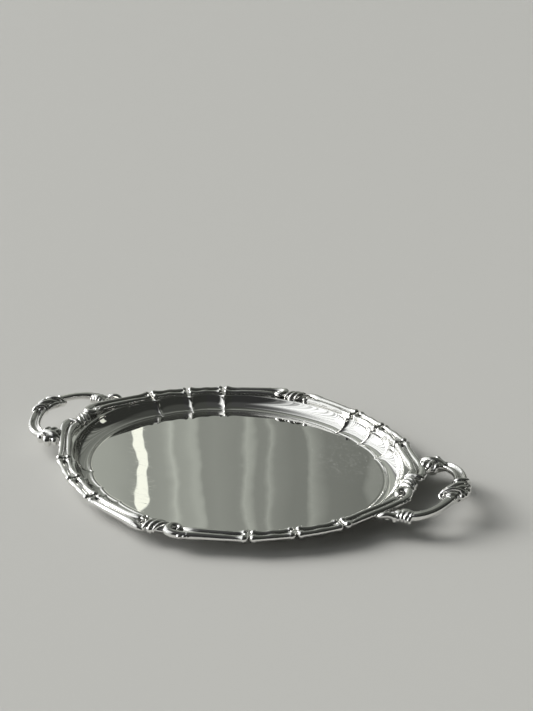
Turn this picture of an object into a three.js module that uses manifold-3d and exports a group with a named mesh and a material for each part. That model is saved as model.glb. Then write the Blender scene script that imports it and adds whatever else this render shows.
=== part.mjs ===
// Oval serving tray: a stamped sheet with a raised wall, a soldered border of cast reeded sections
// with four leaf clasps, and two cast loop handles.
// Millimetres, +Z up. The origin is at the centre of the underside, +X runs through the right handle
// along the long axis, and -Y is the front.

import * as THREE from 'three';
import { mergeVertices } from 'three/addons/utils/BufferGeometryUtils.js';
import Module from 'manifold-3d';

// Driving dimensions
const SHEET = 1.5;                    // thickness of the stamped sheet
const FOOT = { a: 191, b: 150 };      // half axes of the flat floor's oval
const LIP = { a: 209.5, b: 168 };     // half axes of the wall's top edge
const FLANGE_TOP = 16.5;              // height of the flange on the long sides
const END_RISE = 4;                   // how much higher the flange is at the handles
const REED = 4.4;                     // radius of each of the border's two reeds
const REED_OFFSET = 4.6;              // from the border's centreline to a reed's centre
const GAP = 0.3;                      // clearance between soldered pieces
const NOTCH = 1.6;                    // open joint between two border sections
const TO_FLARED = 17;                 // from the middle of a long side or end to its clasp's flared neighbour
const TO_SCROLLED = 9.2;              // and to its scrolled neighbour
const SCALLOP_LIP = 2.6;              // how far a crease pulls in the wall's top edge
const SCALLOP_FOOT = 1.4;             // and the wall's foot
const SCALLOP_WIDTH = 4.5;            // reach of a crease round the wall, in degrees
const FLANGE_UNDER_BORDER = 2;        // how far the flange runs past the border's centreline

// The border's centreline in one quadrant, from the back clasp to the right clasp, with its notches.
const QUADRANT = [
  [0, 181], [24, 182], [63, 172.3], [99, 159.3], [121.5, 148], [142, 134],
  [163, 119.5], [181, 101], [203, 69], [217, 48], [224.5, 30], [222, 0],
];
const NOTCH_POINTS = [3, 5, 7];

// The centreline of the right handle, from the foot of the wide arm to the foot of the narrow one.
const HANDLE = [
  [229, 55, 19.5], [240, 59.5, 22], [252, 59.5, 24.5], [266, 49, 26.5], [277, 27, 29.5],
  [281, 0, 32], [277, -27, 30], [266, -49, 27], [252, -60, 24.5], [240, -60.5, 22], [229, -56.5, 19.5],
];

const silver = {
  sheet: new THREE.MeshStandardMaterial({ color: 0xdedcd6, metalness: 1, roughness: 0.06 }),
  border: new THREE.MeshStandardMaterial({ color: 0xd8d6d0, metalness: 1, roughness: 0.12 }),
  handle: new THREE.MeshStandardMaterial({ color: 0xd4d2cc, metalness: 1, roughness: 0.15 }),
};

const wasm = await Module();
wasm.setup();

const tray = new THREE.Group();
const toSmooth = (t) => THREE.MathUtils.smoothstep(t, 0, 1);

function addMesh(parent, name, geometry, material) {
  const mesh = new THREE.Mesh(geometry, material);
  mesh.name = name;
  parent.add(mesh);
  return mesh;
}

// Moves every vertex of a geometry by a function of its place.
function warp(geometry, place) {
  const position = geometry.attributes.position;
  const v = new THREE.Vector3();
  for (let i = 0; i < position.count; i++) {
    v.fromBufferAttribute(position, i);
    place(v);
    position.setXYZ(i, v.x, v.y, v.z);
  }
  geometry.computeVertexNormals();
  return geometry;
}

function toSolid(geometry) {
  const bare = geometry.index ? geometry.toNonIndexed() : geometry.clone();
  bare.deleteAttribute('normal');
  bare.deleteAttribute('uv');
  const merged = mergeVertices(bare, 1e-3);
  return new wasm.Manifold(new wasm.Mesh({
    numProp: 3,
    vertProperties: merged.attributes.position.array,
    triVerts: new Uint32Array(merged.index.array),
  }));
}

function toGeometry(solid) {
  const mesh = solid.getMesh();
  const geometry = new THREE.BufferGeometry();
  geometry.setAttribute('position', new THREE.BufferAttribute(mesh.vertProperties, 3));
  geometry.setIndex(new THREE.BufferAttribute(mesh.triVerts, 1));
  return geometry;
}

// Plan of the border -----------------------------------------------------------------------------

// The whole centreline, clockwise from the back clasp, as four mirrored quadrants.
const inner = QUADRANT.slice(1, -1);
const loop = [
  ...QUADRANT,
  ...inner.map(([x, y]) => [x, -y]).reverse(),
  ...QUADRANT.map(([x, y]) => [-x, -y]),
  ...inner.map(([x, y]) => [-x, y]).reverse(),
];
const centreline = new THREE.CatmullRomCurve3(
  loop.map(([x, y]) => new THREE.Vector3(x, y, 0)), true, 'centripetal');
const STEPS_PER_POINT = 16;
centreline.arcLengthDivisions = loop.length * STEPS_PER_POINT;
const lengths = centreline.getLengths();
const borderLength = lengths.at(-1);
const lengthAt = (pointIndex) => lengths[pointIndex * STEPS_PER_POINT];

// The rise of the flange and the border towards the two handles.
const rise = (x) => END_RISE * (Math.abs(x) / LIP.a) ** 4;

// A place beside the border: s along its centreline from the back clasp, w outwards, z up.
function onBorder(s, w, z) {
  const u = THREE.MathUtils.euclideanModulo(s / borderLength, 1);
  const point = centreline.getPointAt(u);
  const along = centreline.getTangentAt(u);
  point.x -= along.y * w;
  point.y += along.x * w;
  point.z = z + rise(point.x);
  return point;
}

// Scale of the lip's oval that reaches the flange's outer edge, at each eccentric angle.
const flangeEdge = [];
for (let i = 0; i <= loop.length * STEPS_PER_POINT; i++) {
  const edge = onBorder((i / (loop.length * STEPS_PER_POINT)) * borderLength, FLANGE_UNDER_BORDER, 0);
  const x = edge.x / LIP.a;
  const y = edge.y / LIP.b;
  flangeEdge.push({ angle: Math.atan2(y, x), scale: Math.hypot(x, y) });
}
flangeEdge.sort((p, q) => p.angle - q.angle);

function flangeScale(angle) {
  const next = flangeEdge.findIndex((p) => p.angle >= angle);
  if (next <= 0) return flangeEdge.at(next).scale;
  const before = flangeEdge[next - 1];
  const after = flangeEdge[next];
  const t = (angle - before.angle) / Math.max(after.angle - before.angle, 1e-9);
  return THREE.MathUtils.lerp(before.scale, after.scale, t);
}

// Tray sheet -------------------------------------------------------------------------------------

const creaseAngles = NOTCH_POINTS.map((i) => Math.atan2(QUADRANT[i][1] / LIP.b, QUADRANT[i][0] / LIP.a))
  .map(THREE.MathUtils.radToDeg).reverse();
const RADIAL = 96;                                    // segments round the sheet
const creaseSegments = [9, 13, 17];                   // segments that a quadrant's creases fall on
const stops = [[0, 0], ...creaseSegments.map((n, i) => [n, creaseAngles[i]]), [RADIAL / 4, 90]];

// Turns an even lathe angle into one that puts a segment on each crease.
function creased(angle) {
  const quarter = Math.PI / 2;
  const turns = Math.round(angle / Math.PI);
  const folded = Math.abs(angle - turns * Math.PI);
  const segment = (folded / quarter) * (RADIAL / 4);
  const i = stops.findIndex(([n], k) => k > 0 && segment <= n + 1e-6);
  const [n0, a0] = stops[i - 1];
  const [n1, a1] = stops[i];
  const degrees = THREE.MathUtils.mapLinear(segment, n0, n1, a0, a1);
  return turns * Math.PI + Math.sign(angle - turns * Math.PI) * THREE.MathUtils.degToRad(degrees);
}

// Depth of the nearest crease, 1 on it and 0 far from it.
function crease(angle) {
  const degrees = THREE.MathUtils.radToDeg(Math.abs(Math.atan2(Math.sin(angle), Math.cos(angle))));
  const folded = Math.min(degrees, 180 - degrees);
  const away = Math.min(...creaseAngles.map((a) => Math.abs(folded - a)));
  return Math.exp(-away / SCALLOP_WIDTH);
}

// Plan of the sheet: ring 0 is the centre, 1 the wall's foot, 2 its lip and 3 the flange's edge.
function sheetPlan(ring, angle) {
  const dir = [Math.cos(angle), Math.sin(angle)];
  const pull = crease(angle);
  const foot = [FOOT.a * dir[0], FOOT.b * dir[1]];
  const lip = [LIP.a * dir[0], LIP.b * dir[1]];
  const footPull = 1 - (SCALLOP_FOOT * pull) / Math.hypot(...foot);
  const lipPull = 1 - (SCALLOP_LIP * pull) / Math.hypot(...lip);
  const edgeScale = flangeScale(Math.atan2(dir[1], dir[0]));
  const curves = [0, 1, 2, 3].map((k) => new THREE.Vector2(
    [0, foot[0] * footPull, lip[0] * lipPull, lip[0] * edgeScale][k],
    [0, foot[1] * footPull, lip[1] * lipPull, lip[1] * edgeScale][k]));
  const k = Math.min(Math.floor(ring), 2);
  return curves[k].clone().lerp(curves[k + 1], ring - k);
}

// One closed profile: the underside outwards, then the upper side back to the axis.
function sheetProfile() {
  const wallWidth = LIP.a - FOOT.a;
  const wall = new THREE.QuadraticBezierCurve(
    new THREE.Vector2(0, SHEET), new THREE.Vector2(wallWidth * 0.7, SHEET + 3.2),
    new THREE.Vector2(wallWidth, FLANGE_TOP));
  const upper = [];
  const under = [];
  const WALL_STEPS = 6;
  for (let i = 0; i <= WALL_STEPS; i++) {
    const p = wall.getPoint(i / WALL_STEPS);
    const along = wall.getTangent(i / WALL_STEPS);
    upper.push([1 + p.x / wallWidth, p.y]);
    const q = [p.x + along.y * SHEET, p.y - along.x * SHEET];
    if (q[1] < FLANGE_TOP - SHEET) under.push([1 + q[0] / wallWidth, Math.max(q[1], 0)]);
  }
  under[0] = [1, 0];
  const points = [
    [0, 0], [0.6, 0], ...under, [2.3, FLANGE_TOP - SHEET], [3, FLANGE_TOP - SHEET],
    [3, FLANGE_TOP], [2.1, FLANGE_TOP], ...upper.reverse(), [0.6, SHEET], [0, SHEET],
  ];
  return points.map(([ring, z]) => new THREE.Vector2(ring, z));
}

function traySheet() {
  const geometry = new THREE.LatheGeometry(sheetProfile(), RADIAL);
  return warp(geometry, (v) => {
    const ring = Math.hypot(v.x, v.z);
    const height = v.y;
    const plan = sheetPlan(ring, creased(Math.atan2(-v.z, v.x)));
    const lifted = THREE.MathUtils.clamp(height / FLANGE_TOP, 0, 1) * toSmooth(ring - 1);
    v.set(plan.x, plan.y, height + rise(plan.x) * lifted);
  });
}

addMesh(tray, 'tray_sheet', traySheet(), silver.sheet);

// Border -----------------------------------------------------------------------------------------

const BASE = FLANGE_TOP + GAP;         // underside of the border where it sits on the flange

// Cross-section of the border, x outwards and y up: two reeds, the outer one wrapping the flange's edge.
function reedShape() {
  const points = [];
  const arc = (cx, cy, from, to, count) => {
    for (let i = 0; i <= count; i++) {
      const a = THREE.MathUtils.degToRad(THREE.MathUtils.lerp(from, to, i / count));
      points.push(new THREE.Vector2(cx + REED * Math.cos(a), cy + REED * Math.sin(a)));
    }
  };
  const wrap = FLANGE_UNDER_BORDER + GAP;
  arc(-REED_OFFSET, BASE + 1.2, 178, 25, 4);
  arc(REED_OFFSET, BASE + 1.6, 155, -100, 6);
  points.push(new THREE.Vector2(wrap, BASE + 1.6 - REED), new THREE.Vector2(wrap, BASE));
  points.push(new THREE.Vector2(-REED_OFFSET - REED, BASE));
  return new THREE.Shape(points);
}

// Ends of a section: a small knob at a notch, a broad scroll beside a clasp.
const KNOB = { reach: 9, swell: 0.2, cap: 2.2 };
const SCROLL = { reach: 24, swell: 0.42, cap: 3.5 };

function endSwell(distance, end) {
  const flare = end.swell * (1 - toSmooth(distance / end.reach));
  const rounding = Math.sqrt(1 - (1 - THREE.MathUtils.clamp(distance / end.cap, 0, 1)) ** 2);
  return (1 + flare) * THREE.MathUtils.lerp(0.72, 1, rounding);
}

// A border section from s0 to s1, with the given ends.
function borderSection(s0, s1, startEnd, finishEnd, steps) {
  const length = s1 - s0;
  const geometry = new THREE.ExtrudeGeometry(reedShape(), { depth: length, steps, bevelEnabled: false });
  return warp(geometry, (v) => {
    const t = v.z / length;
    const s = length * (t - Math.sin(2 * Math.PI * t) * 0.11);
    const swell = endSwell(s, startEnd) * endSwell(length - s, finishEnd);
    const top = v.y > BASE ? BASE + (v.y - BASE) * Math.min(swell, 1.12) : v.y;
    const held = v.y > BASE || v.x < 0 ? v.x * swell : v.x * Math.max(swell, 1);
    v.copy(onBorder(s0 + s, held, top));
  });
}

// A clasp: four gadroons wound across the border, nearer its flared neighbour (1 clockwise, -1 back).
const GADROONS = 4;
const CLASP = TO_FLARED + TO_SCROLLED;

function claspGeometry(at, towards) {
  const shape = new THREE.Shape();
  shape.absellipse(-1, BASE + 0.1, 12.5, 8.4, Math.PI, 0, true);
  const geometry = new THREE.ExtrudeGeometry(shape, { depth: CLASP, steps: 20, curveSegments: 10, bevelEnabled: false });
  const start = at - CLASP / 2 + (towards * (TO_FLARED - TO_SCROLLED)) / 2;
  return warp(geometry, (v) => {
    const t = v.z / CLASP;
    const ridge = 0.8 + 0.2 * Math.abs(Math.sin(Math.PI * GADROONS * t));
    const bulk = 0.74 + 0.26 * Math.sin(Math.PI * t);
    v.copy(onBorder(start + v.z, v.x * bulk * ridge ** 0.5, BASE + (v.y - BASE) * bulk * ridge));
  });
}

const [toNotch1, toNotch2, toNotch3] = NOTCH_POINTS.map(lengthAt);
const toRight = lengthAt(QUADRANT.length - 1);
const corner1 = borderSection(toNotch1 + NOTCH / 2, toNotch2 - NOTCH / 2, KNOB, KNOB, 9);
const corner2 = borderSection(toNotch2 + NOTCH / 2, toNotch3 - NOTCH / 2, KNOB, KNOB, 9);
const quarter = (toClasp) => ({
  side: borderSection(toClasp + GAP, toNotch1 - NOTCH / 2, SCROLL, KNOB, 12),
  corner_1: corner1,
  corner_2: corner2,
  end: borderSection(toNotch3 + NOTCH / 2, toRight - toClasp - GAP, KNOB, SCROLL, 12),
});
const flared = quarter(TO_FLARED);         // back right and front left
const scrolled = quarter(TO_SCROLLED);     // front right and back left
for (const [xSide, sx] of [['right', 1], ['left', -1]]) {
  for (const [ySide, sy] of [['back', 1], ['front', -1]]) {
    const quadrant = new THREE.Group();
    quadrant.scale.set(sx, sy, 1);
    for (const [part, geometry] of Object.entries(sx * sy > 0 ? flared : scrolled)) {
      addMesh(quadrant, `border_${ySide}_${xSide}_${part}`, geometry, silver.border);
    }
    tray.add(quadrant);
  }
}
for (const [name, at, towards] of [['back', 0, 1], ['right', 1, -1], ['front', 2, 1], ['left', 3, -1]]) {
  addMesh(tray, `clasp_${name}`, claspGeometry((at * borderLength) / 4, towards), silver.border);
}

// Handles ----------------------------------------------------------------------------------------

const handlePath = new THREE.CatmullRomCurve3(
  HANDLE.map((p) => new THREE.Vector3(...p)), false, 'centripetal');
const handleLength = handlePath.getLength();
const UP = new THREE.Vector3(0, 0, 1);

// A place beside the handle's centreline: s along it, w outwards from the loop, h up.
function onHandle(s, w, h) {
  const u = THREE.MathUtils.clamp(s / handleLength, 0, 1);
  const point = handlePath.getPointAt(u);
  const along = handlePath.getTangentAt(u);
  const outwards = new THREE.Vector3().crossVectors(UP, along).normalize();
  const upwards = new THREE.Vector3().crossVectors(along, outwards);
  return point.addScaledVector(outwards, w).addScaledVector(upwards, h);
}

// A bar along the handle from s0 to s1: shape in x outwards and y up, scaled by a function of its run.
function handleBar(shape, s0, s1, steps, scale) {
  const geometry = new THREE.ExtrudeGeometry(shape, { depth: s1 - s0, steps, curveSegments: 5, bevelEnabled: false });
  return warp(geometry, (v) => {
    const size = scale(v.z / (s1 - s0));
    v.copy(onHandle(s0 + v.z, v.x * size, v.y * size));
  });
}

const ovalShape = (w, h) => {
  const shape = new THREE.Shape();
  shape.absellipse(0, 0, w, h, 0, 2 * Math.PI, false);
  return shape;
};

// Section of the wide arm: two ribs with a channel between them.
function channelShape() {
  const points = [];
  const SIDES = 14;
  for (let i = 0; i < SIDES; i++) {
    const a = (2 * Math.PI * i) / SIDES;
    const waist = 1 - 0.28 * Math.sin(a) ** 6;
    points.push(new THREE.Vector2(7.2 * Math.cos(a), 5 * waist * Math.sin(a)));
  }
  return new THREE.Shape(points);
}

const KNUCKLE = 42;                    // length of the leaf knuckle at the middle of the handle
const COLLAR = 20;                     // how far a foot reaches along the handle
const middle = handleLength / 2;
const wideArm = handleBar(channelShape(), COLLAR + GAP, middle - KNUCKLE / 2 - GAP, 12,
  (t) => 0.92 + 0.14 * Math.sin(Math.PI * t));
const narrowArm = handleBar(ovalShape(4.8, 4.2), middle + KNUCKLE / 2 + GAP, handleLength - COLLAR - GAP, 12,
  (t) => 1.06 - 0.14 * Math.sin(Math.PI * t));
const knuckle = handleBar(ovalShape(9.5, 7.5), middle - KNUCKLE / 2, middle + KNUCKLE / 2, 14,
  (t) => 0.6 + 0.42 * Math.sin(Math.PI * t) + 0.08 * Math.abs(Math.cos(3 * Math.PI * t)));

const PAD = { out: 17.2, wide: 7, up: 18.5, tall: 5.6 };

// A foot: a leaf pad against the border's outer edge, joined to a collar that takes the arm.
function handleFoot(rootAt, leafStart, leafEnd, collar) {
  const pad = new THREE.SphereGeometry(1, 12, 8);
  warp(pad, (v) => {
    const along = v.y > 0 ? leafStart : leafEnd;
    const taper = 1 - 0.35 * v.y * v.y;
    v.copy(onBorder(rootAt - v.y * along, PAD.out + v.x * PAD.wide * taper, PAD.up + v.z * PAD.tall * taper));
  });
  return toGeometry(toSolid(pad).add(toSolid(collar)));
}

// Where along the border the handle's two feet sit.
const footRoot = (y) => {
  let best = 0;
  for (let i = 0; i < lengths.length; i++) {
    const p = onBorder(lengths[i], 0, 0);
    const b = onBorder(lengths[best], 0, 0);
    if (p.x > 0 && (Math.abs(p.y - y) < Math.abs(b.y - y) || b.x < 0)) best = i;
  }
  return lengths[best];
};
const wideCollar = handleBar(ovalShape(7, 5.6), 0, COLLAR, 5, (t) => 1 - 0.12 * t);
const narrowCollar = handleBar(ovalShape(6.6, 5.4), handleLength - COLLAR, handleLength, 5, (t) => 0.88 + 0.12 * t);
const wideFoot = handleFoot(footRoot(56), 17, 13, wideCollar);
const narrowFoot = handleFoot(footRoot(-57), 13, 24, narrowCollar);

for (const [side, turn, wideEnd, narrowEnd] of [
  ['right', 0, 'back', 'front'],
  ['left', Math.PI, 'front', 'back'],
]) {
  const handle = new THREE.Group();
  handle.rotation.z = turn;
  addMesh(handle, `handle_${side}_wide_arm`, wideArm, silver.handle);
  addMesh(handle, `handle_${side}_knuckle`, knuckle, silver.handle);
  addMesh(handle, `handle_${side}_narrow_arm`, narrowArm, silver.handle);
  addMesh(handle, `handle_${side}_${wideEnd}_foot`, wideFoot, silver.handle);
  addMesh(handle, `handle_${side}_${narrowEnd}_foot`, narrowFoot, silver.handle);
  tray.add(handle);
}

export default tray;
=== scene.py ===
"""Looks for the oval serving tray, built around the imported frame.

Lengths are in millimetres until raw_mesh() scales them to metres.
"""

import math

import bpy
import numpy as np
from mathutils import Matrix, Vector


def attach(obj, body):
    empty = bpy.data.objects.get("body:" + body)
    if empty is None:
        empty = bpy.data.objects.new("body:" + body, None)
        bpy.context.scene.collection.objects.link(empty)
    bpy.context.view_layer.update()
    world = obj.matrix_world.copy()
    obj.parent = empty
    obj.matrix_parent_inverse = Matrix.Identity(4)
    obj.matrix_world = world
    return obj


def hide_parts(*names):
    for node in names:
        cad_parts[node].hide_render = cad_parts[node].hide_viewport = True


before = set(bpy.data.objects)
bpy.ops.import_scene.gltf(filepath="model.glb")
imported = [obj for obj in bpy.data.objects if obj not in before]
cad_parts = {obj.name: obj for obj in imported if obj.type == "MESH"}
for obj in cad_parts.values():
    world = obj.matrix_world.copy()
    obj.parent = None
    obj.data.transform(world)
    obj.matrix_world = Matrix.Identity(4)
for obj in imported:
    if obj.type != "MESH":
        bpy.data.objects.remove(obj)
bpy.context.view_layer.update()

# ------------------------------------------------------------------ dimensions shared with the CAD
SHEET = 1.5  # thickness of the sheet
FOOT = np.array([191.0, 150.0])  # half axes of the oval at the wall's foot
LIP = np.array([209.5, 168.0])  # and at its lip
FLANGE_TOP = 16.5
END_RISE = 4.0  # how much higher the border runs at its two ends
FLANGE_EDGE = 2.0  # the flange's edge, outwards from the border's centreline
BASE = FLANGE_TOP + 0.05  # underside of the border's castings
NOTCH = 1.6  # width of a notch between two sections
TO_FLARED = 17.0  # from a clasp's middle to its flared neighbour
TO_SCROLLED = 9.2  # and to its scrolled neighbour
GAP = 0.3  # between soldered pieces
COLLAR = 20.0  # length of the handle's ends that its feet hold
KNUCKLE = 42.0  # length of the handle's knuckle
# The border's centreline from the back's middle to the right end, and the points with a notch.
QUADRANT = [
    (0, 181), (24, 182), (63, 172.3), (99, 159.3), (121.5, 148), (142, 134),
    (163, 119.5), (181, 101), (203, 69), (217, 48), (224.5, 30), (222, 0),
]
NOTCHES = (3, 5, 7)
# The handle's centreline, from its wide arm's foot to its narrow arm's.
HANDLE = [
    (229, 55, 19.5), (240, 59.5, 22), (252, 59.5, 24.5), (266, 49, 26.5), (277, 27, 29.5),
    (281, 0, 32), (277, -27, 30), (266, -49, 27), (252, -60, 24.5), (240, -60.5, 22),
    (229, -56.5, 19.5),
]


# ------------------------------------------------------------------ curves
FINE = 64  # points per span of a curve that castings follow
REACH = 1.2  # tangents are taken over twice this length


def catmull(points, closed=False, per=FINE):
    """Points along a centripetal Catmull-Rom curve."""
    p = np.array(points, float)
    n = len(p)
    if closed:
        q = np.vstack([p[-1:], p, p[:2]])
        spans = n
    else:
        q = np.vstack([2 * p[:1] - p[1:2], p, 2 * p[-1:] - p[-2:-1]])
        spans = n - 1
    t = np.linspace(0, 1, per, endpoint=False)[:, None]
    out = []
    for a, b, c, d in (q[i : i + 4] for i in range(spans)):
        d0, d1, d2 = (max(math.sqrt(np.linalg.norm(v)), 1e-6) for v in (b - a, c - b, d - c))
        t1 = ((b - a) / d0 - (c - a) / (d0 + d1) + (c - b) / d1) * d1
        t2 = ((c - b) / d1 - (d - b) / (d1 + d2) + (d - c) / d2) * d1
        square = -3 * b + 3 * c - 2 * t1 - t2
        cube = 2 * b - 2 * c + t1 + t2
        out.append(b + t1 * t + square * t**2 + cube * t**3)
    if not closed:
        out.append(p[-1:])
    return np.vstack(out)


class Curve:
    """A curve that is read by length."""

    def __init__(self, points, closed=False):
        pts = catmull(points, closed)
        if closed:
            pts = np.vstack([pts, pts[:1]])
        self.closed = closed
        self.pts = pts
        self.s = np.concatenate([[0], np.cumsum(np.linalg.norm(np.diff(pts, axis=0), axis=1))])
        self.length = self.s[-1]

    def at(self, s):
        """Points at lengths s."""
        s = np.asarray(s, float)
        s = np.mod(s, self.length) if self.closed else np.clip(s, 0, self.length)
        return np.stack([np.interp(s, self.s, c) for c in self.pts.T], -1)

    def tangent(self, s):
        """Unit directions at lengths s."""
        s = np.asarray(s, float)
        if not self.closed:
            s = np.clip(s, REACH, self.length - REACH)
        d = self.at(s + REACH) - self.at(s - REACH)
        return d / np.linalg.norm(d, axis=-1, keepdims=True)


inner = QUADRANT[1:-1]
loop = (
    QUADRANT
    + [(x, -y) for x, y in reversed(inner)]
    + [(-x, -y) for x, y in QUADRANT]
    + [(-x, y) for x, y in reversed(inner)]
)
border = Curve(loop, closed=True)
handle = Curve(HANDLE)
# Lengths along the border from the back's middle.
to_notch = [border.s[i * FINE] for i in NOTCHES]
to_right = border.s[(len(QUADRANT) - 1) * FINE]


def rise(x):
    """Height that the border gains towards the tray's ends."""
    return END_RISE * (np.abs(x) / LIP[0]) ** 4


def on_border(v):
    """Places (along the border, outwards, up) in the part's frame."""
    p = border.at(v[:, 0])
    t = border.tangent(v[:, 0])
    x = p[:, 0] - t[:, 1] * v[:, 1]
    y = p[:, 1] + t[:, 0] * v[:, 1]
    return np.stack([x, y, v[:, 2] + rise(x)], 1)


def on_handle(v):
    """Places (along the handle, outwards from its loop, up) in the part's frame."""
    p = handle.at(v[:, 0])
    t = handle.tangent(v[:, 0])
    out = np.cross([0, 0, 1], t)
    out /= np.linalg.norm(out, axis=1, keepdims=True)
    up = np.cross(t, out)
    return p + out * v[:, 1:2] + up * v[:, 2:3]


# ------------------------------------------------------------------ mesh making
def tube_faces(rows, around):
    """Quads between closed rings, and fans to the two vertices that follow the rings.

    A triangle repeats its last corner.
    """
    i = np.arange(rows - 1)[:, None] * around
    j = np.arange(around)
    k = (j + 1) % around
    walls = np.stack([i + j, i + k, i + around + k, i + around + j], -1).reshape(-1, 4)
    first = np.full(around, rows * around)
    last = (rows - 1) * around
    start = np.stack([k, j, first, first], 1)
    end = np.stack([last + j, last + k, first + 1, first + 1], 1)
    return np.vstack([walls, start, end])


CAP_TURNS = np.radians([80, 60, 40, 20])


def sweep(points, radii, wide=1.0, tall=1.0, up=(0, 0, 1), around=18, per=8):
    """A closed tube along a smooth path, with rounded ends."""
    both = catmull(np.hstack([np.array(points, float), np.array(radii, float)[:, None]]), per=per)
    p, r = both[:, :3], both[:, 3]
    t = np.gradient(p, axis=0)
    t /= np.linalg.norm(t, axis=1, keepdims=True)
    head = [(p[0] - t[0] * r[0] * math.sin(a), t[0], r[0] * math.cos(a)) for a in CAP_TURNS]
    tail = [(p[-1] + t[-1] * r[-1] * math.sin(a), t[-1], r[-1] * math.cos(a)) for a in CAP_TURNS[::-1]]
    p = np.vstack([[h[0] for h in head], p, [h[0] for h in tail]])
    t = np.vstack([[h[1] for h in head], t, [h[1] for h in tail]])
    r = np.concatenate([[h[2] for h in head], r, [h[2] for h in tail]])
    side = np.cross(np.array(up, float), t)
    small = np.linalg.norm(side, axis=1) < 0.15
    side[small] = np.cross([1.0, 0.05, 0], t[small])
    side /= np.linalg.norm(side, axis=1, keepdims=True)
    for i in range(1, len(side)):
        if side[i] @ side[i - 1] < 0:
            side[i] = -side[i]
    high = np.cross(t, side)
    a = np.linspace(0, 2 * np.pi, around, endpoint=False)
    rings = (
        p[:, None]
        + side[:, None] * (np.cos(a)[None, :, None] * r[:, None, None] * wide)
        + high[:, None] * (np.sin(a)[None, :, None] * r[:, None, None] * tall)
    )
    return np.vstack([rings.reshape(-1, 3), p[:1], p[-1:]]), tube_faces(len(p), around)


BALL_AROUND = 20


def ball(centre, radii, turn=0.0):
    """An ellipsoid, turned about the vertical by turn radians."""
    a = np.linspace(-np.pi / 2, np.pi / 2, BALL_AROUND // 2 + 1)[1:-1]
    b = np.linspace(0, 2 * np.pi, BALL_AROUND, endpoint=False)
    unit = np.stack(
        [
            (np.cos(a)[:, None] * np.cos(b)).ravel(),
            (np.cos(a)[:, None] * np.sin(b)).ravel(),
            np.repeat(np.sin(a), BALL_AROUND),
        ],
        1,
    )
    unit = np.vstack([unit, [[0, 0, -1], [0, 0, 1]]]) * np.array(radii, float)
    c, s = math.cos(turn), math.sin(turn)
    v = unit @ np.array([[c, s, 0], [-s, c, 0], [0, 0, 1]]) + np.array(centre, float)
    return v, tube_faces(len(a), BALL_AROUND)


def raw_mesh(name, v, f, scale=1.0):
    """A Blender mesh from vertices and quads; a quad that repeats its last corner is a triangle."""
    m = bpy.data.meshes.new(name)
    f = np.asarray(f, np.int64)
    tri = f[:, 2] == f[:, 3]
    size = np.where(tri, 3, 4)
    keep = np.ones(f.shape, bool)
    keep[tri, 3] = False
    flat = f[keep]
    m.vertices.add(len(v))
    m.vertices.foreach_set("co", (np.asarray(v, np.float32) * scale).ravel())
    m.loops.add(len(flat))
    m.loops.foreach_set("vertex_index", flat.astype(np.int32))
    m.polygons.add(len(f))
    m.polygons.foreach_set("loop_start", np.concatenate([[0], np.cumsum(size)[:-1]]).astype(np.int32))
    m.update(calc_edges=True)
    m.validate()
    return m


def edges_of(f):
    """The edges of faces f, each once, as pairs of vertices."""
    e = np.vstack([f[:, [0, 1]], f[:, [1, 2]], f[:, [2, 3]], f[:, [3, 0]]])
    e = e[e[:, 0] != e[:, 1]]
    return np.unique(np.sort(e, 1), axis=0)


def relax(v, e, steps, amount):
    """Moves each vertex towards its neighbours' mean."""
    n = len(v)
    count = np.bincount(e.ravel(), minlength=n)[:, None]
    for _ in range(steps):
        mean = np.stack(
            [
                np.bincount(e[:, 0], v[e[:, 1], k], n) + np.bincount(e[:, 1], v[e[:, 0], k], n)
                for k in range(3)
            ],
            1,
        ) / np.maximum(count, 1)
        v = v + (mean - v) * amount
    return v


def normals_of(v, f):
    """Vertex normals."""
    n = np.cross(v[f[:, 2]] - v[f[:, 0]], v[f[:, 3]] - v[f[:, 1]])
    out = np.zeros_like(v)
    for k in range(4):
        for axis in range(3):
            out[:, axis] += np.bincount(f[:, k], n[:, axis], len(v))
    return out / np.maximum(np.linalg.norm(out, axis=1, keepdims=True), 1e-9)


def recesses(v, f, depth, steps):
    """How deep each vertex lies under the smoothed surface, from 0 to 1 at depth."""
    e = edges_of(f)
    under = ((relax(v, e, steps, 0.6) - v) * normals_of(v, f)).sum(1)
    return np.clip(under / depth, 0, 1)


VOXEL = 0.42


def cast(parts, smooth=16):
    """Joins closed shapes into one casting with soft fillets. Returns vertices and quads."""
    vs, fs, n = [], [], 0
    for v, f in parts:
        vs.append(v)
        fs.append(f + n)
        n += len(v)
    m = raw_mesh("casting", np.vstack(vs), np.vstack(fs))
    o = bpy.data.objects.new("casting", m)
    bpy.context.scene.collection.objects.link(o)
    mod = o.modifiers.new("join", "REMESH")
    mod.mode = "VOXEL"
    mod.voxel_size = VOXEL
    mod.use_smooth_shade = True
    got = bpy.data.meshes.new_from_object(o.evaluated_get(bpy.context.evaluated_depsgraph_get()))
    v = np.empty(len(got.vertices) * 3, np.float32)
    got.vertices.foreach_get("co", v)
    v = v.reshape(-1, 3).astype(float)
    f = np.empty(len(got.loops), np.int32)
    got.loops.foreach_get("vertex_index", f)
    sizes = np.empty(len(got.polygons), np.int32)
    got.polygons.foreach_get("loop_total", sizes)
    assert (sizes == 4).all()
    f = f.reshape(-1, 4).astype(np.int64)
    bpy.data.objects.remove(o)
    bpy.data.meshes.remove(m)
    bpy.data.meshes.remove(got)
    e = edges_of(f)
    for _ in range(smooth):
        # In and out again, so that the shapes don't shrink.
        v = relax(v, e, 1, 0.6)
        v = relax(v, e, 1, -0.55)
    return relax(v, e, 1, 0.4), f


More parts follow.
